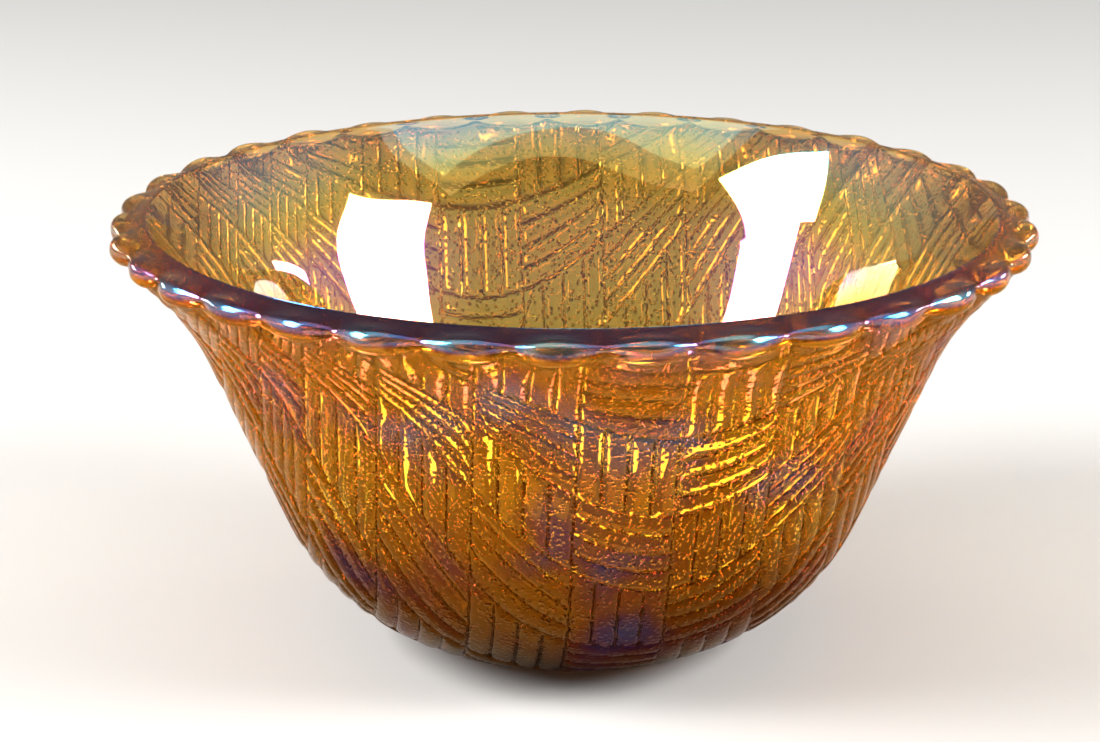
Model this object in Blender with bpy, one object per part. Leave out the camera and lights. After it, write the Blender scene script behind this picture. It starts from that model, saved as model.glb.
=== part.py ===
"""A small pressed carnival-glass bowl, 150 mm across, with a scalloped rim.

The real bowl is one piece of glass. It is modelled here as the four zones that its press mould
shapes, each a solid of its own, stacked in the order they leave the mould: foot ring, floor,
woven wall and scalloped rim. A hairline gap of 0.3 mm parts each zone from the next.

Metres, +Z up. The origin is on the axis, in the plane that the foot rests on.
Run with: blender --background --python part.py
"""

import math

import bmesh
import bpy

MM = 0.001

# The outside, from the foot up. A slope is an angle in degrees above the horizontal.
RIM_RADIUS = 75.0 * MM  # axis to the tip of a scallop
HEIGHT = 71.6 * MM  # table to the top of the rim
FOOT_RADIUS = 22.6 * MM  # outer edge of the ring that touches the table
FOOT_WIDTH = 3.6 * MM  # flat of that ring
FOOT_HEIGHT = 1.2 * MM
BELLY_START = (27.2 * MM, 1.8 * MM)  # where the undercut of the foot meets the round belly
BELLY_RADIUS = 37.4 * MM
BELLY_SLOPE = 22.0
FLARE_SLOPE = 66.5
FLARE_TOP = 50.0 * MM  # height at which the straight flare starts to curl outwards
NECK_RADIUS = 42.0 * MM

# The inside, smooth and a wall's thickness in from the outside.
WALL = 3.8 * MM
FLOOR_TOP = 5.5 * MM
FLOOR_BLEND_RADIUS = 19.2 * MM  # fillet between the flat floor and the belly
FLOOR_BLEND_SLOPE = 35.0
MOUTH_RADIUS = 68.6 * MM  # inner edge of the flat rim
MOUTH_SLOPE = 51.0

# The rim and its scallops.
SCALLOPS = 34
LIP_UNDERSIDE = 66.9 * MM
LIP_ROUND = 2.2 * MM  # radius of the rounded outer edge
BEAD_START = 69.9 * MM  # radius at which the flutes between scallops begin
VALLEY_DEPTH = 2.0 * MM  # how far a flute cuts back the outer edge
VALLEY_DIP = 0.8 * MM  # how far a flute sinks into the top and rises into the underside
BEAD_SHARPNESS = 0.7  # under 1 gives round crests and narrow flutes

# Where the zones part.
ZONE_GAP = 0.3 * MM
RIM_JOINT = 64.0 * MM
FLOOR_JOINT_SLOPE = FLOOR_BLEND_SLOPE

# Facets.
TURN_STEPS = 3 * SCALLOPS
RIM_STEPS = 4 * SCALLOPS
SHARP_EDGE = 40.0
WELD = 0.001 * MM


def sine(slope):
    return math.sin(math.radians(slope))


def cosine(slope):
    return math.cos(math.radians(slope))


def arc(start, first, last, radius, steps):
    """Points of a round run that leaves `start` at slope `first` and ends at slope `last`."""
    turn = math.copysign(radius, last - first)
    points = [start]
    for step in range(1, steps + 1):
        slope = first + (last - first) * step / steps
        points.append(
            (
                start[0] + turn * (sine(slope) - sine(first)),
                start[1] + turn * (cosine(first) - cosine(slope)),
            )
        )
    return points


def slope_after_rise(first, radius, rise):
    """The slope of a run that curls outwards from slope `first` once it has risen by `rise`."""
    return math.degrees(math.acos(cosine(first) + rise / radius))


def belly_point(slope, inset):
    """The point of the round belly that has this slope, `inset` in from the outside."""
    centre = (
        BELLY_START[0] - BELLY_RADIUS * sine(BELLY_SLOPE),
        BELLY_START[1] + BELLY_RADIUS * cosine(BELLY_SLOPE),
    )
    radius = BELLY_RADIUS - inset
    return centre[0] + radius * sine(slope), centre[1] - radius * cosine(slope)


def up_flare(start, height):
    """The point at this height on the straight flare through `start`."""
    return start[0] + (height - start[1]) / math.tan(math.radians(FLARE_SLOPE)), height


def outer_wall(from_slope, to_height):
    """The outside of the wall, from a slope on the belly up to a height on the curled neck."""
    belly = arc(belly_point(from_slope, 0), from_slope, FLARE_SLOPE, BELLY_RADIUS, 5)
    neck_start = up_flare(belly[-1], FLARE_TOP)
    end = slope_after_rise(FLARE_SLOPE, NECK_RADIUS, to_height - FLARE_TOP)
    return belly + arc(neck_start, FLARE_SLOPE, end, NECK_RADIUS, 4)


def mouth_curve():
    """Where the inner flare starts to curl, and the radius that brings it to the mouth."""
    flare = belly_point(FLARE_SLOPE, WALL)
    slope_change = cosine(MOUTH_SLOPE) - cosine(FLARE_SLOPE)
    sweep = sine(FLARE_SLOPE) - sine(MOUTH_SLOPE)
    cotangent = 1 / math.tan(math.radians(FLARE_SLOPE))
    reach = MOUTH_RADIUS - flare[0] - (HEIGHT - flare[1]) * cotangent
    radius = reach / (sweep - slope_change * cotangent)
    return up_flare(flare, HEIGHT - radius * slope_change), radius


def inner_wall(from_slope, to_height):
    """The inside of the wall, from a slope on the belly up to a height near the mouth."""
    belly = arc(
        belly_point(from_slope, WALL), from_slope, FLARE_SLOPE, BELLY_RADIUS - WALL, 5
    )
    start, radius = mouth_curve()
    end = slope_after_rise(FLARE_SLOPE, radius, to_height - start[1])
    return belly + arc(start, FLARE_SLOPE, end, radius, 3)


def turned(name, outline, steps, closed=True):
    """A solid of revolution about Z. An open outline starts and ends on the axis."""
    shape = bmesh.new()
    vertices = [shape.verts.new((r, 0, z)) for r, z in outline]
    pairs = list(zip(vertices, vertices[1:]))
    if closed:
        pairs.append((vertices[-1], vertices[0]))
    edges = [shape.edges.new(pair) for pair in pairs]
    bmesh.ops.spin(
        shape,
        geom=vertices + edges,
        cent=(0, 0, 0),
        axis=(0, 0, 1),
        angle=math.tau,
        steps=steps,
        use_duplicate=False,
    )
    bmesh.ops.remove_doubles(shape, verts=shape.verts, dist=WELD)
    bmesh.ops.recalc_face_normals(shape, faces=shape.faces)
    mesh = bpy.data.meshes.new(name)
    shape.to_mesh(mesh)
    shape.free()
    mesh.shade_smooth()
    mesh.set_sharp_from_angle(angle=math.radians(SHARP_EDGE))
    piece = bpy.data.objects.new(name, mesh)
    bpy.context.scene.collection.objects.link(piece)
    return piece


def glass(piece, colour, roughness):
    """Coloured glass of this object's own, seen as a solid colour with a sheen."""
    material = bpy.data.materials.new(piece.name + "_glass")
    material.use_nodes = True
    shader = material.node_tree.nodes["Principled BSDF"]
    shader.inputs["Base Color"].default_value = (*colour, 1.0)
    shader.inputs["Roughness"].default_value = roughness
    shader.inputs["Metallic"].default_value = 0.0
    shader.inputs["IOR"].default_value = 1.52
    piece.data.materials.append(material)


def foot_ring():
    """The low ring that the bowl stands on, narrower on the table than where it joins the floor."""
    undercut = (BELLY_START[0] - FOOT_RADIUS) / BELLY_START[1]
    outline = [
        (FOOT_RADIUS - FOOT_WIDTH, 0),
        (FOOT_RADIUS, 0),
        (FOOT_RADIUS + FOOT_HEIGHT * undercut, FOOT_HEIGHT),
        (FOOT_RADIUS - FOOT_WIDTH - FOOT_HEIGHT, FOOT_HEIGHT),
    ]
    piece = turned("foot_ring", outline, TURN_STEPS)
    glass(piece, (0.16, 0.05, 0.01), 0.25)


def bowl_floor():
    """The thick floor: flat above the foot, and dished up to meet the wall."""
    underside = FOOT_HEIGHT + ZONE_GAP
    undercut = (BELLY_START[0] - FOOT_RADIUS) / BELLY_START[1]
    outside = arc(BELLY_START, BELLY_SLOPE, FLOOR_JOINT_SLOPE, BELLY_RADIUS, 2)
    inside_end = belly_point(FLOOR_BLEND_SLOPE, WALL)
    blend_start = (
        inside_end[0] - FLOOR_BLEND_RADIUS * sine(FLOOR_BLEND_SLOPE),
        inside_end[1] - FLOOR_BLEND_RADIUS * (1 - cosine(FLOOR_BLEND_SLOPE)),
    )
    inside = arc(blend_start, 0, FLOOR_BLEND_SLOPE, FLOOR_BLEND_RADIUS, 4)
    outline = [(0, underside), (FOOT_RADIUS + underside * undercut, underside)]
    outline += outside + inside[::-1] + [(0, blend_start[1])]
    piece = turned("bowl_floor", outline, TURN_STEPS, closed=False)
    glass(piece, (0.25, 0.09, 0.015), 0.12)


def woven_wall():
    """The flared wall, plain here, whose outside carries the basket weave."""
    joint_slope = FLOOR_JOINT_SLOPE + math.degrees(ZONE_GAP / (BELLY_RADIUS - WALL))
    outside = outer_wall(joint_slope, RIM_JOINT)
    inside = inner_wall(joint_slope, RIM_JOINT)
    piece = turned("woven_wall", outside + inside[::-1], TURN_STEPS)
    glass(piece, (0.55, 0.22, 0.03), 0.15)


def scallop(angle):
    """1 on the crest of a scallop and 0 in the flute between two."""
    return abs(math.sin(angle * SCALLOPS / 2)) ** BEAD_SHARPNESS


def scalloped_rim():
    """The flat lip, whose outer edge is a row of round beads parted by flutes."""
    joint = RIM_JOINT + ZONE_GAP
    neck_end = slope_after_rise(FLARE_SLOPE, NECK_RADIUS, joint - FLARE_TOP)
    neck = arc(outer_wall(neck_end, joint)[-1], neck_end, 39.0, NECK_RADIUS, 1)
    round_centre = (RIM_RADIUS - LIP_ROUND, LIP_UNDERSIDE + LIP_ROUND)
    edge = [
        (round_centre[0] + LIP_ROUND * sine(turn), round_centre[1] - LIP_ROUND * cosine(turn))
        for turn in (15, 50, 90, 130, 165)
    ]
    top = [(BEAD_START, HEIGHT), (MOUTH_RADIUS, HEIGHT)]
    inside = [inner_wall(FLOOR_BLEND_SLOPE, joint)[-1]]
    piece = turned("scalloped_rim", neck + edge + top + inside, RIM_STEPS)
    middle = (HEIGHT + LIP_UNDERSIDE) / 2
    for vertex in piece.data.vertices:
        radius = math.hypot(vertex.co.x, vertex.co.y)
        reach = max(0.0, (radius - BEAD_START) / (RIM_RADIUS - BEAD_START))
        sunk = reach * (1 - scallop(math.atan2(vertex.co.y, vertex.co.x)))
        shrink = 1 - VALLEY_DEPTH * sunk / radius
        vertex.co.x *= shrink
        vertex.co.y *= shrink
        vertex.co.z -= math.copysign(VALLEY_DIP * sunk, vertex.co.z - middle)
    glass(piece, (0.30, 0.12, 0.14), 0.08)


for leftover in list(bpy.data.objects):
    bpy.data.objects.remove(leftover)
foot_ring()
bowl_floor()
woven_wall()
scalloped_rim()
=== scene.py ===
# %% [markdown]
# # A small carnival-glass bowl
#
# Carnival glass is pressed glass: a gather of hot glass is dropped into an iron mould and a
# plunger squeezes it out against the pattern cut in the mould. While it is still hot it is
# sprayed with metal salts, which leave a film of oxide one to three ten-thousandths of a
# millimetre thick. Light that bounces off the two faces of that film interferes, and that gives
# the oily rainbow.
#
# This lesson builds the bowl as one closed skin of glass, because glass bends light twice, once
# on the way in and once on the way out, and needs both faces to do so. The CAD model holds the
# bowl as four zones; here they become one piece again.

# %% Load the CAD frame
import math

import bpy
import numpy as np
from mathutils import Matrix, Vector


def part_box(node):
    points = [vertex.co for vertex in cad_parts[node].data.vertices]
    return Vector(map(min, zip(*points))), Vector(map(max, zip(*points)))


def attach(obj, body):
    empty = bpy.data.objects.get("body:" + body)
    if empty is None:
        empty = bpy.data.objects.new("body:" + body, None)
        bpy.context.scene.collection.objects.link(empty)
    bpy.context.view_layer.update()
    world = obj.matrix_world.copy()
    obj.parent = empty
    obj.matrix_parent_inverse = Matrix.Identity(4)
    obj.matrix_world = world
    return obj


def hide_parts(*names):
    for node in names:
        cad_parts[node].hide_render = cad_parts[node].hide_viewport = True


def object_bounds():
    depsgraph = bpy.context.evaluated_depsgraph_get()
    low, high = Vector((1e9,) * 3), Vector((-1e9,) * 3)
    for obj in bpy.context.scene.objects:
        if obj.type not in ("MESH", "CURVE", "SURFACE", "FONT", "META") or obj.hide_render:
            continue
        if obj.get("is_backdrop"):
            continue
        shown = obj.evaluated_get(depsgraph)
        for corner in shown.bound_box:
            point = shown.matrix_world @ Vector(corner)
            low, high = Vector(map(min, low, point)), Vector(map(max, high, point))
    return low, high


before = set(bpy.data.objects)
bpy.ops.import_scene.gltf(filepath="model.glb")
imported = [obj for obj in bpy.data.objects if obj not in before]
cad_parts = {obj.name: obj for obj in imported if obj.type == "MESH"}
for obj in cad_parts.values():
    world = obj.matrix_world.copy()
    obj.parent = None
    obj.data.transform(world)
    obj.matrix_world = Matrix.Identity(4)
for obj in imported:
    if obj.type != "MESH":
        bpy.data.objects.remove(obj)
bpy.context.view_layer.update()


def plain_box():
    """The model's lowest and highest corners as lists of numbers."""
    return [list(corner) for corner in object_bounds()]


# %% [markdown]
# ## The camera
#
# A long lens from half a metre away keeps the ellipse of the mouth calm and shows both the
# inside of the far wall and the outside of the near one. The camera is placed from three plain
# numbers: how far round it stands, how high over the centre of the mouth, and how far away.

# %% Camera
MM = 0.001
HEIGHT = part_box("scalloped_rim")[1].z
MOUTH_CENTRE = np.array([0.0, 0.0, HEIGHT])


def sine(degrees):
    return np.sin(np.radians(degrees))


def cosine(degrees):
    return np.cos(np.radians(degrees))


def around(azimuth, elevation, distance):
    """A point this far from the centre of the mouth.

    Azimuth 0 is the front (-Y) and grows towards +X, and elevation goes up. The point lies
    distance * cos elevation away in plan and distance * sin elevation up.
    """
    level = cosine(elevation)
    return MOUTH_CENTRE + distance * np.array(
        [sine(azimuth) * level, -cosine(azimuth) * level, sine(elevation)]
    )


FRONT = 1.49  # degrees round from -Y
RISE, DISTANCE = 14.44, 0.525  # degrees over the mouth, and metres from it
PITCH, YAW = 17.34, 0.41  # degrees down from level, and left of the mouth's centre
LENS, SENSOR = 105.9, 36.0  # mm
camera_data = bpy.data.cameras.new("studio_camera")
camera_data.lens = LENS
camera_data.sensor_width = SENSOR
camera_data.clip_start = 0.01
camera = bpy.data.objects.new("studio_camera", camera_data)
bpy.context.scene.collection.objects.link(camera)
camera.location = around(FRONT, RISE, DISTANCE)
camera.rotation_euler = (math.radians(90 - PITCH), 0, math.radians(FRONT + YAW))
bpy.context.scene.camera = camera
bpy.context.scene.view_settings.view_transform = "Standard"
print("camera at", [round(v, 4) for v in camera.location])

# %% [markdown]
# ## Colours and nodes
#
# Colours are written as sRGB hex, as a paint program shows them, and one function turns them
# linear, as the renderer wants them. One more adds a shader node with its settings and links.

# %% Helpers for colours and nodes


def linear(hex_colour):
    """sRGB hex to linear RGBA: each channel over 255, then the sRGB curve undone."""
    channels = np.array([int(hex_colour[i : i + 2], 16) for i in (1, 3, 5)]) / 255
    curve = np.where(
        channels <= 0.04045, channels / 12.92, ((channels + 0.055) / 1.055) ** 2.4
    )
    return (*curve.tolist(), 1.0)


def add_node(tree, kind, settings=None, **inputs):
    """Adds a node, with `settings` as its properties and `inputs` as values or links.

    An input is named after its socket, with underscores for spaces, or by its place, as _2.
    A link comes from a socket, or from the first output of a node.
    """
    node = tree.nodes.new(kind)
    for name, value in (settings or {}).items():
        setattr(node, name, value)
    for name, value in inputs.items():
        socket = node.inputs[int(name[1:]) if name[0] == "_" else name.replace("_", " ")]
        if isinstance(value, bpy.types.Node):
            value = value.outputs[0]
        if isinstance(value, bpy.types.NodeSocket):
            tree.links.new(value, socket)
        else:
            socket.default_value = value
    return node


def new_material(name):
    """An empty node material and its tree."""
    material = bpy.data.materials.new(name)
    material.use_nodes = True
    material.node_tree.nodes.clear()
    return material, material.node_tree


# %% [markdown]
# ## The floor
#
# A sheet of matt paper, large enough that its edge is never near the bowl. Most of what reaches
# the eye through the glass is light from this sheet, so it has to be bright. The lamps bring a
# light grey to near white round the bowl, which leaves room for the glass's own highlights.

# %% Floor
FLOOR_HALF = 3.0  # metres from the middle to each edge
FLOOR_DROP = 0.0002  # metres below the foot, so that the two never share a plane
floor_mesh = bpy.data.meshes.new("floor")
floor_corners = [(-1, -1), (1, -1), (1, 1), (-1, 1)]
floor_mesh.from_pydata(
    [(FLOOR_HALF * x, FLOOR_HALF * y, 0) for x, y in floor_corners], [], [(0, 1, 2, 3)]
)
floor = bpy.data.objects.new("floor", floor_mesh)
bpy.context.scene.collection.objects.link(floor)
floor.location.z = -FLOOR_DROP
# Uncoated paper: almost fully rough, so it shows no picture of a lamp.
paper, tree = new_material("white_paper")
matt = add_node(
    tree, "ShaderNodeBsdfPrincipled", Base_Color=linear("#999794"), Roughness=0.9
)
add_node(tree, "ShaderNodeOutputMaterial", Surface=matt)
floor_mesh.materials.append(paper)
floor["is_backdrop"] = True
print("floor", 2 * FLOOR_HALF, "m square")

# %% [markdown]
# ## Lamps
#
# Clear glass shows its lamps as sharp pictures of themselves, so they decide where the white
# windows lie on the inside of the far wall. That wall leans outwards like a mirror, and sends
# the line of sight up and to the side: the soft boxes stand where those lines end. The left
# window is two boxes, one over the other. A wide, dim ceiling gives the band of colour under the
# far rim, and a second, larger box behind it softens its edge.

# %% Lamps


def soft_box(name, azimuth, elevation, distance, size, watts):
    """A rectangular lamp of this (width, height) in metres, facing the centre of the mouth."""
    lamp = bpy.data.lights.new(name, "AREA")
    lamp.shape = "RECTANGLE"
    lamp.size, lamp.size_y = size
    lamp.energy = watts
    lamp_object = bpy.data.objects.new(name, lamp)
    bpy.context.scene.collection.objects.link(lamp_object)
    turn = FRONT + azimuth
    lamp_object.location = around(turn, elevation, distance)
    lamp_object.rotation_euler = (math.radians(90 - elevation), 0, math.radians(turn))


# name, degrees round, degrees up, metres away, (width, height) in metres, watts
soft_box("window_right", 74, 27.5, 0.9, (0.41, 0.42), 23)
soft_box("window_left", -77.5, 37, 0.9, (0.43, 0.31), 18)
soft_box("window_left_low", -73, 21.5, 0.9, (0.36, 0.22), 10)
soft_box("ceiling", 0, 79, 1.0, (1.30, 0.62), 2.6)
soft_box("ceiling_cove", 0, 75, 1.1, (1.60, 0.84), 3)
soft_box("side_right", 117, 11, 0.9, (0.22, 0.10), 2)
soft_box("side_left", -124, 9, 0.9, (0.30, 0.08), 2)
print("lamps:", [lamp.name for lamp in bpy.data.lights])

# %% [markdown]
# ## The air round the bowl
#
# The rest of the studio is a plain soft gradient, dim in front and behind and brighter to both
# sides. The flat top of the near lip mirrors what stands behind the bowl, so a dim back keeps it
# dark, and the bright sides light the walls beside the windows.

# %% Air
AIR_DIM, AIR_BRIGHT = 0.22, 1.2
SIDE_START = 0.5  # how far a direction leans to the side, 0 to 1, where the air turns brighter
world = bpy.data.worlds.new("studio_air")
bpy.context.scene.world = world
world.use_nodes = True
sky = world.node_tree
sky.nodes.clear()
toward = add_node(sky, "ShaderNodeTexCoord").outputs["Generated"]
direction = add_node(sky, "ShaderNodeSeparateXYZ", Vector=toward).outputs["X"]
sideways = add_node(sky, "ShaderNodeMath", {"operation": "ABSOLUTE"}, _0=direction)
glow = add_node(
    sky,
    "ShaderNodeMapRange",
    {"interpolation_type": "SMOOTHSTEP"},
    Value=sideways,
    From_Min=SIDE_START,
    From_Max=1.0,
    To_Min=AIR_DIM,
    To_Max=AIR_BRIGHT,
)
air = add_node(sky, "ShaderNodeBackground", Color=linear("#e8ecf2"), Strength=glow)
add_node(sky, "ShaderNodeOutputWorld", Surface=air)
print("air from", AIR_DIM, "in front and behind to", AIR_BRIGHT, "at the sides")

# %% [markdown]
# ## The outline
#
# A pressed bowl is a solid of revolution before the pattern is cut. Its outline is a few plain
# runs: a round belly, a straight flare and a neck that curls outwards under the lip. Each run is
# an arc with a start, a slope at each end and a radius, so the whole outline follows from the
# real bowl's few radii. From here to the faces, every length is in millimetres.

# %% Runs of the outline
RIM_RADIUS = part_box("scalloped_rim")[1].y / MM
TOP = HEIGHT / MM
WALL = 3.8
BELLY_RADIUS, BELLY_SLOPE, FLARE_SLOPE = 37.4, 22.0, 66.5
NECK_RADIUS, NECK_START, NECK_END_SLOPE = 42.0, 50.0, 39.0
ARC_POINTS = 60


def arc(start, first, last, radius):
    """A round run: it leaves `start` at slope `first` and ends at slope `last`, in degrees.

    A point where the slope is a lies radius * (sin a - sin first) across and
    radius * (cos first - cos a) up from the start, the other way about if the slope falls.
    """
    slope = np.linspace(first, last, ARC_POINTS)
    turn = np.copysign(radius, last - first)
    across = start[0] + turn * (sine(slope) - sine(first))
    up = start[1] + turn * (cosine(first) - cosine(slope))
    return np.column_stack([across, up])


def up_flare(start, height):
    """The point at this height on the straight flare through `start`: the rise over the
    tangent of the slope gives how far across it lies."""
    return (start[0] + (height - start[1]) / np.tan(np.radians(FLARE_SLOPE)), height)


foot_corner = (22.3, 0.35)
belly_start = (27.2, 1.8)
belly_centre = (
    belly_start[0] - BELLY_RADIUS * sine(BELLY_SLOPE),
    belly_start[1] + BELLY_RADIUS * cosine(BELLY_SLOPE),
)
belly = arc(belly_start, BELLY_SLOPE, FLARE_SLOPE, BELLY_RADIUS)
neck_start = up_flare(belly[-1], NECK_START)
neck = arc(neck_start, FLARE_SLOPE, NECK_END_SLOPE, NECK_RADIUS)
print("neck ends at radius, height:", neck[-1].round(2))

# %% [markdown]
# ## The lip and the mouth
#
# The lip is a ring of half-round section that stands out from the wall. Between its scallops and
# the mouth its top lies a third of a millimetre lower, so the mouth keeps a thin rounded edge of
# its own, which catches a fine line of light. The edge is an arc that ends at the slope of the
# inside wall, so the two meet without a crease.

# %% Lip and mouth
LIP_ROUND, LIP_UNDERSIDE = 2.2, 66.9
LIP_TURN, LIP_POINTS = 190, 50  # degrees round the lip's section, from its underside
LIP_CLEAR = 0.2  # the lip starts this far out from the end of the neck
MOUTH_RADIUS, MOUTH_ROUND, MOUTH_SLOPE = 68.6, 1.0, 51.0
MOUTH_POINTS = 6
BEAD_START = 69.9  # the radius where the scallops' beads begin to rise
FLANGE = ((1.6, 0.36), (0.6, 0.32), (0.1, 0.22), (-0.2, 0.05))  # out from there, and down
MOUTH_CREST = (0.15, 0.005)  # out from where the mouth's edge starts, and down

lip_centre = (RIM_RADIUS - LIP_ROUND, LIP_UNDERSIDE + LIP_ROUND)
lip_turn = np.linspace(0, LIP_TURN, LIP_POINTS)
lip_across = lip_centre[0] + LIP_ROUND * sine(lip_turn)
lip_up = lip_centre[1] - LIP_ROUND * cosine(lip_turn)
lip = np.column_stack([lip_across, lip_up])[lip_across > neck[-1, 0] + LIP_CLEAR]

mouth_drop = MOUTH_ROUND * (1 - cosine(MOUTH_SLOPE))
wall_back = mouth_drop / np.tan(np.radians(MOUTH_SLOPE))
ring_start = MOUTH_RADIUS - wall_back + MOUTH_ROUND * sine(MOUTH_SLOPE)
flange = np.array(
    [[BEAD_START + out, TOP - down] for out, down in FLANGE]
    + [[ring_start + MOUTH_CREST[0], TOP - MOUTH_CREST[1]]]
)
mouth_turn = np.linspace(0, MOUTH_SLOPE, MOUTH_POINTS)
mouth_across = ring_start - MOUTH_ROUND * sine(mouth_turn)
mouth_up = TOP - MOUTH_ROUND * (1 - cosine(mouth_turn))
mouth_rows = np.column_stack([mouth_across, mouth_up])
print("mouth edge from", mouth_rows[0].round(2), "to", mouth_rows[-1].round(2))

# %% [markdown]
# ## The inside
#
# The plunger is made to leave an even wall, so the inside is the outside's shape a wall's
# thickness in. Near the mouth it curls out to the mouth's slope, and a wide round blends it into
# the flat floor.

# %% Inside
FLOOR_BLEND, FLOOR_SLOPE = 19.2, 35.0


def inner_belly(slope):
    """The point of the inner belly with this slope, round the outer belly's own centre."""
    radius = BELLY_RADIUS - WALL
    across = belly_centre[0] + radius * sine(slope)
    return (across, belly_centre[1] - radius * cosine(slope))


inner_flare = inner_belly(FLARE_SLOPE)
# The radius of a curl that leaves the flare and ends at the mouth's radius, at the top.
fall = cosine(MOUTH_SLOPE) - cosine(FLARE_SLOPE)
lean = 1 / np.tan(np.radians(FLARE_SLOPE))
reach = MOUTH_RADIUS - inner_flare[0] - (TOP - inner_flare[1]) * lean
mouth_curl = reach / (sine(FLARE_SLOPE) - sine(MOUTH_SLOPE) - fall * lean)
curl_start = up_flare(inner_flare, TOP - mouth_curl * fall)
inner_wall = np.vstack(
    [
        arc(inner_belly(FLOOR_SLOPE), FLOOR_SLOPE, FLARE_SLOPE, BELLY_RADIUS - WALL),
        arc(curl_start, FLARE_SLOPE, MOUTH_SLOPE, mouth_curl),
    ]
)
blend_start = (
    inner_wall[0, 0] - FLOOR_BLEND * sine(FLOOR_SLOPE),
    inner_wall[0, 1] - FLOOR_BLEND * (1 - cosine(FLOOR_SLOPE)),
)
floor_blend = arc(blend_start, 0, FLOOR_SLOPE, FLOOR_BLEND)
print("inside floor is", round(float(blend_start[1]), 2), "mm above the table")

# %% [markdown]
# ## Evenly spaced rows
#
# The relief of the weave is half a millimetre deep on bars under four wide, so the rows on the
# outside lie less than a millimetre apart. The inside is smooth and needs far fewer.

# %% Rows
WALL_SPACING, LIP_SPACING, INSIDE_SPACING = 0.82, 0.45, 2.2
MOUTH_GAP = 0.5  # the last inside row stays this far below the mouth's rounded edge


def length_to(run):
    """Arc length from the start of the run to each of its points."""
    return np.concatenate([[0], np.cumsum(np.hypot(*np.diff(run, axis=0).T))])


def respaced(run, spacing):
    """The run's points moved to an even spacing, by arc length along it."""
    length = length_to(run)
    rows = max(2, int(round(length[-1] / spacing)) + 1)
    wanted = np.linspace(0, length[-1], rows)
    return np.column_stack([np.interp(wanted, length, run[:, i]) for i in (0, 1)])


# Under the bowl: the recess, the ring it stands on and the step up to the belly.
foot = np.array(
    [
        (17.0, 1.0),
        (18.6, 0.9),
        (19.2, 0.25),
        (19.6, 0.0),
        (21.8, 0.0),
        foot_corner,
        (24.6, 0.95),
    ]
)
outer_wall = np.vstack([belly, neck])
wall_rows = respaced(outer_wall, WALL_SPACING)
lip_rows = respaced(lip, LIP_SPACING)
below_mouth = inner_wall[inner_wall[:, 1] < TOP - mouth_drop - MOUTH_GAP]
inside_rows = respaced(np.vstack([floor_blend, below_mouth[1:]]), INSIDE_SPACING)[::-1]
print("rows: wall", len(wall_rows), "lip", len(lip_rows), "inside", len(inside_rows))

# %% [markdown]
# ## The basket weave
#
# The mould's cutter laid the weave out flat, like a chequerboard seen from above: in one square
# the bars run one way, in the next they run the other, four bars to a square. Pressed on to the
# bowl, the squares stretch down the wall. So the pattern is worked out in two coordinates that
# are read in plan and then measured along the wall, and a bar's cross-section is a rounded pad
# with a narrow groove to each side.

# %% Weave coordinates
CELL = 15.6  # a square of the weave, mm along the wall
BARS = 4
SHIFT_P, SHIFT_Q = 4.5, 76.1  # mm that the lattice is moved, along each of its axes
SKEW = ((1.0149, 0.0888), (-0.2808, 0.9793))  # the two sets of bars aren't quite square
LIP_OUT = 25  # the lip's first points, which lead out to its edge
BAR_ROUND, SQUARE_ROUND = 3.0, 14.0  # a low power is a round pad, a high one a flat pad

plan_radius = np.concatenate([[0.0, foot_corner[0]], outer_wall[:, 0], lip[:LIP_OUT, 0]])
plan_height = np.concatenate([[0.0, 0.0], outer_wall[:, 1], lip[:LIP_OUT, 1]])
along_wall = length_to(np.column_stack([plan_radius, plan_height]))


def weave_coordinates(x, y):
    """(P, Q) in squares.

    The plan is turned to the front and skewed, so that each axis follows one set of bars.
    Then each coordinate is stretched to the length of the outline out to that radius.
    """
    c, s = cosine(FRONT), sine(FRONT)
    plan_x, plan_y = c * x + s * y, c * y - s * x
    skewed = [a * plan_x + b * plan_y for a, b in SKEW]
    stretched = [np.sign(v) * np.interp(np.abs(v), plan_radius, along_wall) for v in skewed]
    return (stretched[0] + SHIFT_P) / CELL, (stretched[1] + SHIFT_Q) / CELL


def pad(share, roundness):
    """1 over the middle of a pad and 0 at its edges: one minus a power of the distance from
    its middle, where half a pad's width counts as 1."""
    return 1 - np.abs(2 * (share - np.floor(share)) - 1) ** roundness


def weave_height(p, q):
    """0 in a groove to 1 on a bar: bars cross q in the even squares and p in the odd ones."""
    even = (np.floor(p) + np.floor(q)) % 2 == 0
    across = np.where(even, q, p) * BARS
    along = np.where(even, p, q)
    return pad(across, BAR_ROUND) * pad(along, SQUARE_ROUND)


print("a bar and its groove are", CELL / BARS, "mm wide")

# %% [markdown]
# ## The scallops
#
# The cap ring of the mould presses 34 round beads into the lip, with a V-shaped flute between
# each two, and the reheat at the furnace mouth softens them all. The depth of a flute is the
# sine of the angle with its crest flattened by a power. A little change in depth and in place
# from bead to bead is what the fire does. The film swells over each bead too, more to one side
# of it, so that each has its own short run of colours.

# %% Scallops
SCALLOPS = 34
BEAD_SHARPNESS = 0.95
FLUTE_DEPTH, FLUTE_DIP = 2.7, 1.5  # mm cut into the edge, and into the top and underside
LEAST_BEAD, MOST_SHIFT = 0.82, 0.06  # the lowest crest, and how far a crest moves
DRIFT_LEAN = 0.7  # under 1 moves the thick part of the film to one side of the bead
EDGE_BACK = 1.2  # mm in from the rim's edge where the scallops reach their full depth
UNDER_START, TOP_SIDE = 68.5, 70.0  # radius they start from underneath; height of the top
chance = np.random.default_rng(1908)
bead_size = chance.uniform(LEAST_BEAD, 1.0, SCALLOPS)
bead_place = chance.uniform(-MOST_SHIFT, MOST_SHIFT, SCALLOPS)


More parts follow.
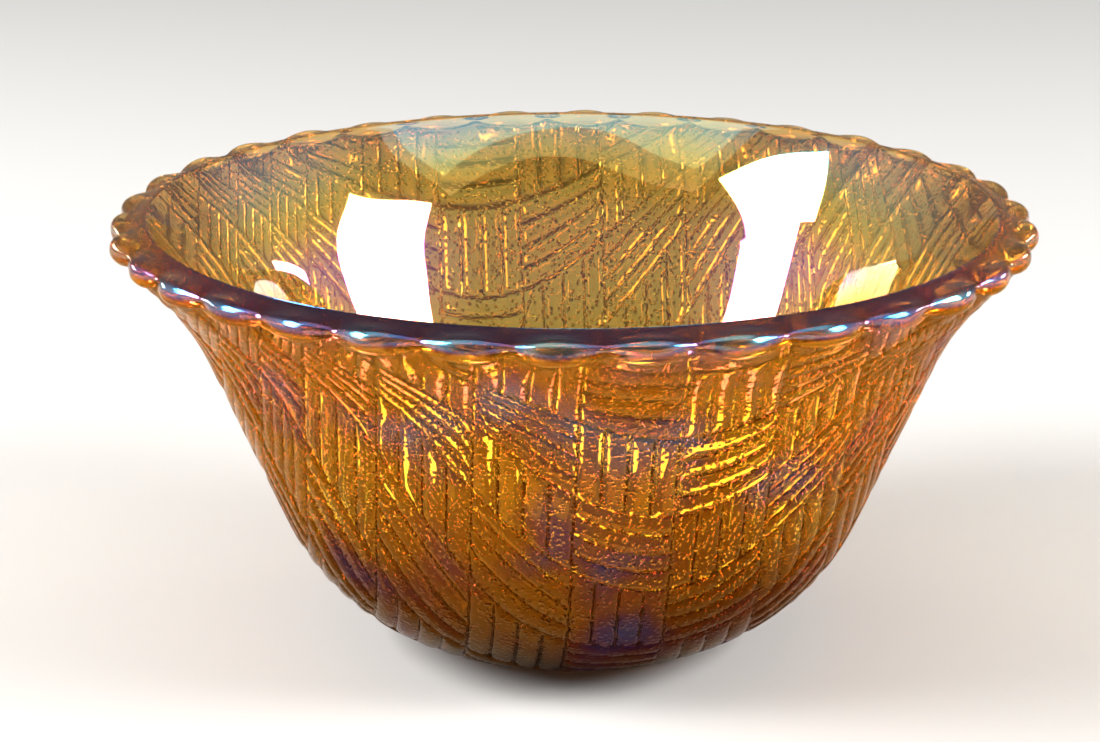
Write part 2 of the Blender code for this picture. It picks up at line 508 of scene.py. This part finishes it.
def bead_and_share(angle):
    """Which bead an angle falls on, and how far across it, from 0 to 1."""
    turn = angle * SCALLOPS / (2 * np.pi)
    return np.floor(turn).astype(int) % SCALLOPS, turn - np.floor(turn)


def scallop(angle):
    """How far a point is sunk, 0 on a crest and 1 in a flute: one minus a power of the sine
    of half a turn across the bead, times the bead's own size."""
    bead, share = bead_and_share(angle)
    share = share + bead_place[bead] * np.sin(np.pi * share) ** 2
    crest = np.abs(np.sin(np.pi * share)) ** BEAD_SHARPNESS
    return 1 - crest * bead_size[bead]


def bead_drift(angle):
    """Thickness of the film across a bead, 0 to 1: the sine of half a turn, leaning to one
    side, times between half and all by the bead's size."""
    bead, share = bead_and_share(angle)
    swell = np.sin(np.pi * share**DRIFT_LEAN)
    bigger = (bead_size[bead] - LEAST_BEAD) / (1 - LEAST_BEAD)
    return 0.5 * swell * (1 + bigger)


def lip_share(rows):
    """For each row, 0 away from the lip and 1 on its rounded edge, eased at both ends."""
    edge = RIM_RADIUS - EDGE_BACK
    top_side = (rows[:, 0] - BEAD_START) / (edge - BEAD_START)
    under = (rows[:, 0] - UNDER_START) / (edge - UNDER_START)
    share = np.clip(np.where(rows[:, 1] > TOP_SIDE, top_side, under), 0, 1)
    return share * share * (3 - 2 * share)


print("scallops every", round(360 / SCALLOPS, 2), "degrees")

# %% [markdown]
# ## One closed skin
#
# The skin is a stack of rings: under the foot, up the outside, over the lip and down the inside
# to the middle of the floor. The outside needs many points for its relief and the inside few, so
# the number of points to a ring changes by three at two places, where one wide face meets three.
# Each point of the outside then moves along the outline's normal, out on a bar and in on a flute.

# %% Rings
FINE = SCALLOPS * 18
COARSE = FINE // 3
RELIEF = 0.5
WEAVE_FOOT, WEAVE_FOOT_FADE = 1.0, 4.0  # height where the weave starts, and its fade in
WEAVE_HEAD, WEAVE_HEAD_FADE = 66.0, 3.0  # height where it ends, and its fade out


def ring_grid(rows, count):
    """Angles and positions of rows x count points on circles round the axis."""
    turn = np.linspace(0, 2 * np.pi, count, endpoint=False)
    angle = turn[None, :] + np.zeros((len(rows), 1))
    radius, height = rows[:, :1], rows[:, 1:]
    return angle, radius * np.cos(angle), radius * np.sin(angle), height + 0 * angle


def outward(rows):
    """Unit normals of the outline, to the right of its direction of travel."""
    along = np.gradient(rows, axis=0)
    along /= np.hypot(along[:, 0], along[:, 1])[:, None]
    return np.column_stack([along[:, 1], -along[:, 0]])


fine_rows = np.vstack([wall_rows, lip_rows, flange, mouth_rows])
row_radius, row_height = fine_rows.T
angle, x, y, z = ring_grid(fine_rows, FINE)
normal = outward(fine_rows)
p, q = weave_coordinates(x, y)
fade_in = np.clip((row_height - WEAVE_FOOT) / WEAVE_FOOT_FADE, 0, 1)
fade_out = np.clip((WEAVE_HEAD - row_height) / WEAVE_HEAD_FADE, 0, 1)
woven = (fade_in * fade_out)[:, None]
raised = RELIEF * woven * (weave_height(p, q) - 0.5)
on_lip = lip_share(fine_rows)[:, None]
level = np.abs(normal[:, 1:])  # 1 where the lip lies flat, 0 on its upright edge
dent = on_lip * scallop(angle) * (FLUTE_DIP * level + FLUTE_DEPTH * (1 - level))
offset = raised - dent
x += offset * normal[:, :1] * np.cos(angle)
y += offset * normal[:, :1] * np.sin(angle)
z += offset * normal[:, 1:]
fine_points = np.stack([x, y, z], axis=-1).reshape(-1, 3)

foot_points = np.stack(ring_grid(foot, COARSE)[1:], axis=-1).reshape(-1, 3)
inside_points = np.stack(ring_grid(inside_rows, COARSE)[1:], axis=-1).reshape(-1, 3)
foot_middle, floor_middle = [(0, 0, foot[0, 1])], [(0, 0, blend_start[1])]
points = np.vstack([foot_middle, foot_points, fine_points, inside_points, floor_middle])
print(len(points), "points in the skin")

# %% [markdown]
# ## Faces
#
# The rings are joined in the order they were laid, with a fan of triangles over the middle of
# the foot and another over the middle of the floor, so the skin has no open edge and every face
# looks outwards.

# %% Faces


def strip(first, rows, count):
    """Quads of a grid of rings that starts at point `first`."""
    row, column = np.meshgrid(np.arange(rows - 1), np.arange(count), indexing="ij")
    a = first + row * count + column
    b = first + row * count + (column + 1) % count
    return np.stack([a, b, b + count, a + count], axis=-1).reshape(-1, 4)


def widen(coarse, fine, count):
    """Faces between a ring of `count` points and one of three times as many: one quad and
    two triangles to each coarse step."""
    k = np.arange(count)
    a, b = coarse + k, coarse + (k + 1) % count
    f = [fine + (3 * k + i) % (3 * count) for i in range(4)]
    quads = np.stack([a, b, f[2], f[1]], axis=-1)
    return quads, np.stack([a, f[1], f[0]], axis=-1), np.stack([b, f[3], f[2]], axis=-1)


foot_at = 1
fine_at = foot_at + len(foot_points)
inside_at = fine_at + len(fine_points)
last = len(points) - 1
last_ring = last - COARSE
k = np.arange(COARSE)
next_k = (k + 1) % COARSE
cap = np.stack([np.zeros(COARSE, int), foot_at + next_k, foot_at + k], axis=-1)
plug = np.stack([last_ring + k, last_ring + next_k, np.full(COARSE, last)], axis=-1)
sides = [
    cap,
    strip(foot_at, len(foot), COARSE),
    *widen(fine_at - COARSE, fine_at, COARSE),
    strip(fine_at, len(fine_rows), FINE),
    *[side[:, ::-1] for side in widen(inside_at, inside_at - FINE, COARSE)],
    strip(inside_at, len(inside_rows), COARSE),
    plug,
]
faces = [face for side in sides for face in side.tolist()]
skin = bpy.data.meshes.new("glass_bowl")
skin.from_pydata((points * MM).tolist(), [], faces)
skin.validate()
skin.shade_smooth()
bowl = bpy.data.objects.new("glass_bowl", skin)
bpy.context.scene.collection.objects.link(bowl)
print(len(faces), "faces,", sum(len(f) - 2 for f in faces), "triangles")

# %% [markdown]
# ## Where each finish lies
#
# The finish changes from zone to zone of one skin, so each point carries a few numbers for the
# material to read. The map "weave" holds the lattice, so that the fine relief lines up with the
# bars. "pressed" is 1 where the mould's pattern and stipple lie, "marigold" is 1 where the golden
# spray landed, "lip" is 1 on the fire-polished lip, and "bead" says how far the film there is
# thicker or thinner than on the lip's flat part.

# %% Finish zones
PRESSED_TOP, PRESSED_FADE = 69.5, 3.0  # height where the pattern ends, and its fade
PRESSED_LIP_ROWS = 3  # rows of the lip that still carry it
PRESSED_FOOT = 0.6  # the foot's share of it
MARIGOLD_OVER, MARIGOLD_FADE = 0.6, 1.2  # over the middle of the lip, and its fade
FLANGE_START, FLANGE_FADE = 68.7, 0.6  # radius where the lip's finish starts, and its fade
USUAL_DRIFT = 0.35  # the swell that leaves a bead's film as thick as the flat part's

point_uv = np.zeros((len(points), 2))
point_uv[fine_at:inside_at] = np.stack([p, q], axis=-1).reshape(-1, 2)
loop_point = np.empty(len(skin.loops), np.int32)
skin.loops.foreach_get("vertex_index", loop_point)
weave_map = skin.uv_layers.new(name="weave")
weave_map.data.foreach_set("uv", point_uv[loop_point].ravel().astype(np.float32))

pressed = np.clip((PRESSED_TOP - row_height) / PRESSED_FADE, 0, 1)
pressed[len(wall_rows) + PRESSED_LIP_ROWS :] = 0
marigold = np.clip((lip_centre[1] + MARIGOLD_OVER - row_height) / MARIGOLD_FADE, 0, 1)
marigold[len(wall_rows) + len(lip_rows) :] = 0
on_flange = np.clip((row_radius - FLANGE_START) / FLANGE_FADE, 0, 1)

finish = {name: np.zeros(len(points)) for name in ("pressed", "marigold", "lip", "bead")}
finish["pressed"][fine_at:inside_at] = np.repeat(pressed, FINE)
finish["pressed"][foot_at:fine_at] = PRESSED_FOOT
finish["marigold"][fine_at:inside_at] = np.repeat(marigold, FINE)
finish["marigold"][:fine_at] = 1
finish["lip"][fine_at:inside_at] = np.repeat(on_flange, FINE)
finish["bead"][fine_at:inside_at] = (on_lip * (bead_drift(angle) - USUAL_DRIFT)).ravel()
for name, values in finish.items():
    layer = skin.attributes.new(name, "FLOAT", "POINT")
    layer.data.foreach_set("value", values.astype(np.float32))
    print(name, "runs from", values.min().round(2), "to", values.max().round(2))

# %% [markdown]
# ## Glass: what it reads
#
# The bowl is clear soda-lime glass under a marigold film. One material covers it all, so it
# starts from the numbers that the points carry and from the place on the bowl. Below, a Mix node
# takes plain numbers at its inputs 2 and 3, and colours at 6 and 7.

# %% What the glass reads
glass, tree = new_material("iridised_amber_glass")
place = add_node(tree, "ShaderNodeTexCoord").outputs["Object"]
where = add_node(tree, "ShaderNodeSeparateXYZ", Vector=place)
at = {
    name: add_node(tree, "ShaderNodeAttribute", {"attribute_name": name}).outputs["Fac"]
    for name in finish
}
print("the glass reads", list(at))

# %% [markdown]
# ## Glass: the crisp edges of the bars
#
# The mesh gives each bar its body, and bump gives it the crisp edge that the mould's cutter
# left: the same pads as in the mesh, with higher powers.

# %% Bars
EDGE_ROUND, END_ROUND = 6.0, 30.0
BAR_BUMP = 0.4 * MM

squares = add_node(tree, "ShaderNodeUVMap", {"uv_map": "weave"})
square = add_node(tree, "ShaderNodeSeparateXYZ", Vector=squares)
square_p, square_q = square.outputs["X"], square.outputs["Y"]
row_p = add_node(tree, "ShaderNodeMath", {"operation": "FLOOR"}, _0=square_p)
row_q = add_node(tree, "ShaderNodeMath", {"operation": "FLOOR"}, _0=square_q)
both = add_node(tree, "ShaderNodeMath", {"operation": "ADD"}, _0=row_p, _1=row_q)
odd = add_node(tree, "ShaderNodeMath", {"operation": "FLOORED_MODULO"}, _0=both, _1=2.0)
across = add_node(
    tree, "ShaderNodeMix", {"data_type": "FLOAT"}, _0=odd, _2=square_q, _3=square_p
)
along = add_node(
    tree, "ShaderNodeMix", {"data_type": "FLOAT"}, _0=odd, _2=square_p, _3=square_q
)
bar = add_node(
    tree, "ShaderNodeMath", {"operation": "MULTIPLY"}, _0=across, _1=float(BARS)
)
relief = at["pressed"]
for share, roundness in ((bar, EDGE_ROUND), (along, END_ROUND)):
    # One minus a power of the distance from the pad's middle, as in pad().
    part = add_node(tree, "ShaderNodeMath", {"operation": "FRACT"}, _0=share)
    side = add_node(tree, "ShaderNodeMath", {"operation": "SUBTRACT"}, _0=part, _1=0.5)
    half = add_node(tree, "ShaderNodeMath", {"operation": "ABSOLUTE"}, _0=side)
    off = add_node(tree, "ShaderNodeMath", {"operation": "MULTIPLY"}, _0=half, _1=2.0)
    edge = add_node(tree, "ShaderNodeMath", {"operation": "POWER"}, _0=off, _1=roundness)
    flat = add_node(tree, "ShaderNodeMath", {"operation": "SUBTRACT"}, _0=1.0, _1=edge)
    relief = add_node(
        tree, "ShaderNodeMath", {"operation": "MULTIPLY"}, _0=flat, _1=relief
    )
bar_bump = add_node(
    tree, "ShaderNodeBump", Strength=1.0, Distance=BAR_BUMP, Height=relief
)
print("bars' edges", BAR_BUMP / MM, "mm deep")

# %% [markdown]
# ## Glass: waves inside and stipple outside
#
# The smooth inside has the slow waves of glass that was chilled by the plunger, which bend the
# outlines of the windows. Between the bars the mould is stippled with a punch, in round dimples
# a little under a millimetre apart, so the glass is covered in small domes: a Voronoi pattern
# with each cell's distance turned into a dome.

# %% Waves and stipple
WAVE, WAVE_BUMP = 24 * MM, 1.1 * MM
GRAIN, GRAIN_BUMP = 0.85 * MM, 0.3 * MM
DOME_TOP, DOME_EDGE = 0.05, 0.45  # distances from a cell's middle, in grains

waves = add_node(tree, "ShaderNodeTexNoise", Vector=place, Scale=1 / WAVE, Detail=0.0)
patterned = add_node(
    tree, "ShaderNodeMath", {"operation": "MAXIMUM"}, _0=at["pressed"], _1=at["lip"]
)
smooth = add_node(
    tree, "ShaderNodeMath", {"operation": "SUBTRACT"}, _0=1.0, _1=patterned
)
wave_height = add_node(
    tree,
    "ShaderNodeMath",
    {"operation": "MULTIPLY"},
    _0=waves.outputs["Fac"],
    _1=smooth,
)
wave_bump = add_node(
    tree,
    "ShaderNodeBump",
    Strength=1.0,
    Distance=WAVE_BUMP,
    Height=wave_height,
    Normal=bar_bump,
)

grain = add_node(
    tree, "ShaderNodeTexVoronoi", {"feature": "F1"}, Vector=place, Scale=1 / GRAIN
)
dome = add_node(
    tree,
    "ShaderNodeMapRange",
    {"interpolation_type": "SMOOTHSTEP"},
    Value=grain.outputs["Distance"],
    From_Min=DOME_TOP,
    From_Max=DOME_EDGE,
    To_Min=1.0,
    To_Max=0.0,
)
stipple = add_node(
    tree, "ShaderNodeMath", {"operation": "MULTIPLY"}, _0=dome, _1=at["pressed"]
)
grain_bump = add_node(
    tree,
    "ShaderNodeBump",
    Strength=1.0,
    Distance=GRAIN_BUMP,
    Height=stipple,
    Normal=wave_bump,
)
print("stipple", round(GRAIN / MM, 2), "mm, waves", round(WAVE / MM), "mm")

# %% [markdown]
# ## Glass: the film outside
#
# The film is tin and iron oxide with a refractive index of about 2.0, and its thickness decides
# its colour: seen straight on, 110 nm is gold, 137 purple, 169 blue, 180 cyan, 195 green, 225
# yellow-orange and 247 pink. It is sprayed by hand, so it drifts over the bowl in soft clouds.
# Outside it is gold with purple drifts.

# %% Film outside, nm
CLOUD, CLOUD_LOW, CLOUD_HIGH = 35 * MM, 0.3, 0.7
DRIFT, DRIFT_LOW, DRIFT_HIGH = 16 * MM, 0.46, 0.78
GOLD, GOLD_CLOUD, GOLD_DRIFT = 106.0, 16.0, 46.0

clouds = add_node(
    tree,
    "ShaderNodeTexNoise",
    Vector=place,
    Scale=1 / CLOUD,
    Detail=2.0,
    Roughness=0.5,
)
cloud = add_node(
    tree,
    "ShaderNodeMapRange",
    Value=clouds.outputs["Fac"],
    From_Min=CLOUD_LOW,
    From_Max=CLOUD_HIGH,
)
drifts = add_node(
    tree,
    "ShaderNodeTexNoise",
    Vector=place,
    Scale=1 / DRIFT,
    Detail=1.0,
    Roughness=0.5,
)
drift = add_node(
    tree,
    "ShaderNodeMapRange",
    Value=drifts.outputs["Fac"],
    From_Min=DRIFT_LOW,
    From_Max=DRIFT_HIGH,
)
multiply_add = {"operation": "MULTIPLY_ADD"}
clouded_gold = add_node(
    tree, "ShaderNodeMath", multiply_add, _0=cloud, _1=GOLD_CLOUD, _2=GOLD
)
gold_film = add_node(
    tree, "ShaderNodeMath", multiply_add, _0=drift, _1=GOLD_DRIFT, _2=clouded_gold
)
print("outside film", GOLD, "to", GOLD + GOLD_CLOUD + GOLD_DRIFT, "nm")

# %% [markdown]
# ## Glass: the film inside
#
# Down the inside of the wall the film thickens to a belt and thins again, which gives bands that
# run from blue-green through yellow to pink and back.

# %% Film inside, nm
BELT_START, BELT_END = 71 * MM, 31 * MM  # heights between which it thickens and thins
INSIDE, INSIDE_CLOUD, INSIDE_SLOPE, INSIDE_BELT = 170.0, 30.0, 16.0, 78.0

# 0 at the mouth, 1 where the film is thickest and 2 where it is thin again.
down_wall = add_node(
    tree,
    "ShaderNodeMapRange",
    Value=where.outputs["Z"],
    From_Min=BELT_START,
    From_Max=BELT_END,
    To_Max=2.0,
)
belt = add_node(
    tree, "ShaderNodeMath", {"operation": "PINGPONG"}, _0=down_wall, _1=1.0
)
clouded = add_node(
    tree, "ShaderNodeMath", multiply_add, _0=cloud, _1=INSIDE_CLOUD, _2=INSIDE
)
sloping = add_node(
    tree, "ShaderNodeMath", multiply_add, _0=down_wall, _1=INSIDE_SLOPE, _2=clouded
)
inside_film = add_node(
    tree, "ShaderNodeMath", multiply_add, _0=belt, _1=INSIDE_BELT, _2=sloping
)
print("inside film", INSIDE, "nm at the mouth and", INSIDE_BELT, "nm more in the belt")

# %% [markdown]
# ## Glass: the film on the lip
#
# The lip is purple to blue in front, where its film is thick, and gold at the back. The three
# films then become one thickness, chosen by the finish zones.

# %% Film on the lip, nm
LIP_FRONT, LIP_BACK = -42 * MM, -14 * MM  # places along Y between which it turns gold
FRONT_FILM, FRONT_BEAD = 156.0, 56.0
BACK_FILM, BACK_BEAD = 108.0, 8.0

to_back = add_node(
    tree,
    "ShaderNodeMapRange",
    {"interpolation_type": "SMOOTHSTEP"},
    Value=where.outputs["Y"],
    From_Min=LIP_FRONT,
    From_Max=LIP_BACK,
)
front_film = add_node(
    tree, "ShaderNodeMath", multiply_add, _0=at["bead"], _1=FRONT_BEAD, _2=FRONT_FILM
)
back_film = add_node(
    tree, "ShaderNodeMath", multiply_add, _0=at["bead"], _1=BACK_BEAD, _2=BACK_FILM
)
number_mix = {"data_type": "FLOAT"}
lip_film = add_node(
    tree, "ShaderNodeMix", number_mix, _0=to_back, _2=front_film, _3=back_film
)
unsprayed_film = add_node(
    tree, "ShaderNodeMix", number_mix, _0=at["lip"], _2=inside_film, _3=lip_film
)
film = add_node(
    tree, "ShaderNodeMix", number_mix, _0=at["marigold"], _2=unsprayed_film, _3=gold_film
)
print("lip film about", FRONT_FILM, "nm in front and", BACK_FILM, "nm at the back")

# %% [markdown]
# ## Glass: its colour
#
# Marigold glass is nearly clear in the body, and the spray stains it amber. So the absorption
# inside is light, and most of the colour is a tint where light crosses the skin: deep amber
# outside, pale inside and honey on the lip. The oxide also colours what it mirrors, gold on the
# outside and peach where the film drifts. Towards the foot both the tint and the mirrored colour
# turn darker: that darkening is painted shade, under the bowl.

# %% Colour
FOOT_DARK, FOOT_CLEAR = 2 * MM, 44 * MM  # heights between which the foot's shade lifts
colour_mix = {"data_type": "RGBA"}

# Runs from 0 at the foot to 1 from mid-wall up, and lifts the painted shade near the foot.
painted_shade_lift = add_node(
    tree,
    "ShaderNodeMapRange",
    {"interpolation_type": "SMOOTHSTEP"},
    Value=where.outputs["Z"],
    From_Min=FOOT_DARK,
    From_Max=FOOT_CLEAR,
)
# Deep amber outside, darkened towards the foot by painted shade.
wall_tint_and_shade = add_node(
    tree,
    "ShaderNodeMix",
    colour_mix,
    _0=painted_shade_lift,
    _6=linear("#2a1204"),
    _7=linear("#a57226"),
).outputs[2]
# Pale amber inside, darkened towards the foot by painted shade.
inside_tint_and_shade = add_node(
    tree,
    "ShaderNodeMix",
    colour_mix,
    _0=painted_shade_lift,
    _6=linear("#8a5a24"),
    _7=linear("#cfb668"),
).outputs[2]
unpressed_tint_and_shade = add_node(
    tree, "ShaderNodeMix", colour_mix, _0=at["lip"], _6=inside_tint_and_shade, _7=linear("#ffcf80")
).outputs[2]
# The tint that the glass gets carries the painted shade near the foot.
tint = add_node(
    tree, "ShaderNodeMix", colour_mix, _0=at["pressed"], _6=unpressed_tint_and_shade, _7=wall_tint_and_shade
).outputs[2]
print("tints mixed for wall, inside and lip")

# %% Sheen of the film
high_sheen = add_node(
    tree,
    "ShaderNodeMix",
    colour_mix,
    _0=drift,
    _6=linear("#ff9f32"),
    _7=linear("#ffccb0"),
).outputs[2]
# Towards the foot the mirrored colour darkens: painted shade, which keeps the lit floor from
# showing in the film there.
wall_sheen_and_shade = add_node(
    tree, "ShaderNodeMix", colour_mix, _0=painted_shade_lift, _6=linear("#6e3a14"), _7=high_sheen
).outputs[2]
# The film's colour outside carries the painted shade near the foot.
sheen = add_node(
    tree,
    "ShaderNodeMix",
    colour_mix,
    _0=at["marigold"],
    _6=linear("#ffffff"),
    _7=wall_sheen_and_shade,
).outputs[2]
print("sheen is plain inside and on the lip, gold to peach outside")

# %% [markdown]
# ## Glass: put together
#
# Soda-lime glass bends light with an index of 1.52. Its pressed and plunged faces are nearly
# polished. The lip is a little softer, because the reheat leaves it faintly hazy, so its
# highlights bleed into the colours round them.

# %% Put together
POLISHED, HAZY = 0.03, 0.16
haze = add_node(
    tree, "ShaderNodeMix", number_mix, _0=at["lip"], _2=POLISHED, _3=HAZY
)
amber = add_node(
    tree,
    "ShaderNodeBsdfPrincipled",
    Base_Color=tint,
    Roughness=haze,
    IOR=1.52,
    Transmission_Weight=1.0,
    Specular_Tint=sheen,
    Thin_Film_Thickness=film,
    Thin_Film_IOR=2.0,
    Normal=grain_bump,
)
body = add_node(
    tree, "ShaderNodeVolumeAbsorption", Color=linear("#f2d95f"), Density=100.0
)
add_node(tree, "ShaderNodeOutputMaterial", Surface=amber, Volume=body)
skin.materials.append(glass)
print(len(tree.nodes), "nodes in the glass")

# %% [markdown]
# ## Standing for the CAD zones
#
# The one skin replaces all four zones of the CAD model and stays with the body that they make
# up. Nothing on the bowl moves.

# %% Stand for the CAD zones
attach(bowl, "root")
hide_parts("foot_ring", "bowl_floor", "woven_wall", "scalloped_rim")
print("glass_bowl stands for all four zones")

print("visual box, metres:", plain_box())
